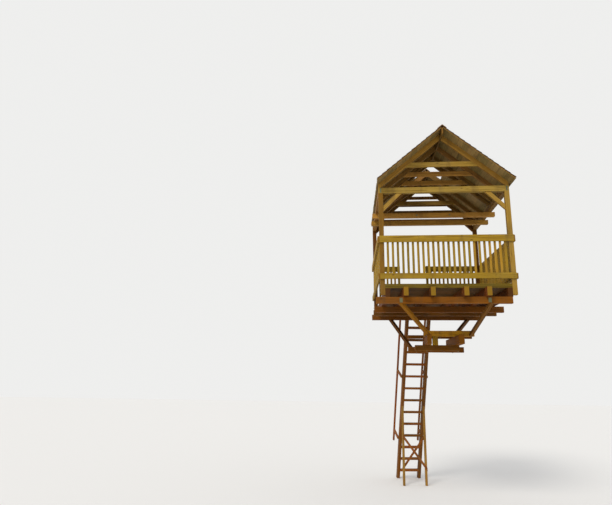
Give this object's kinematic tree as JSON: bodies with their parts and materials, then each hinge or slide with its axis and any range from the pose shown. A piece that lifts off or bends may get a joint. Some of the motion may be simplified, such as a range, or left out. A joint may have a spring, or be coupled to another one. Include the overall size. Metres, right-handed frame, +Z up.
{
  "type": "tree house",
  "caption": "Open gabled timber tree house on struts and a beam collar round a trunk, with slatted railings and a leaning back ladder on prop legs.",
  "frame": {"origin": "middle of the face that the upper front collar beam presses against the trunk", "axes": "+X to the right seen from the front, +Y to the back, towards the trunk and the ladder, +Z up"},
  "size_m": [3.05, 5.4357, 8.1738],
  "materials": {
    "collar_timber": "rough sawn, weathered reddish brown",
    "strut_timber": "rough sawn, warm brown",
    "platform_timber": "rough sawn, dark reddish brown",
    "deck_boards": "worn boards",
    "light_timber": "planed, oiled golden ochre",
    "roof_timber": "planed, stained reddish brown",
    "roof_shingles": "split wooden shingles, weathered dark",
    "ladder_timber": "rough sawn, weathered reddish brown"
  },
  "bodies": {
    "root": {"collar_lower_front": "collar_timber", "collar_lower_back": "collar_timber", "collar_left": "collar_timber", "collar_right": "collar_timber", "collar_upper_front": "collar_timber", "collar_upper_back": "collar_timber", "collar_blocks": "collar_timber", "strut_front_left": "strut_timber", "strut_front_right": "strut_timber", "strut_back_left": "strut_timber", "strut_back_right": "strut_timber", "platform_beam_front": "platform_timber", "platform_beams_trunk": "platform_timber", "platform_beam_back": "platform_timber", "floor_joists": "platform_timber", "floor_deck": "deck_boards", "deck_edge_front": "light_timber", "post_front_left": "light_timber", "post_front_right": "light_timber", "post_back_left": "light_timber", "post_back_right": "light_timber", "front_railing": "light_timber", "left_railing": "light_timber", "right_railing": "light_timber", "back_railing_left": "light_timber", "back_railing_right": "light_timber", "entrance_newels": "light_timber", "tie_beam_front": "light_timber", "knee_braces": "light_timber", "tie_beam_back": "roof_timber", "tie_beams_trunk": "roof_timber", "wall_plates": "roof_timber", "rafters": "roof_timber", "ridge_board": "roof_timber", "roof_ties": "roof_timber", "back_gable_boards": "roof_timber", "roof_left": "roof_shingles", "roof_right": "roof_shingles", "ladder_rail_left": "ladder_timber", "ladder_rail_right": "ladder_timber", "ladder_treads": "ladder_timber", "ladder_legs": "ladder_timber", "ladder_cross_braces": "ladder_timber", "handrails": "ladder_timber", "handrail_posts": "ladder_timber"}
  },
  "joints": []
}
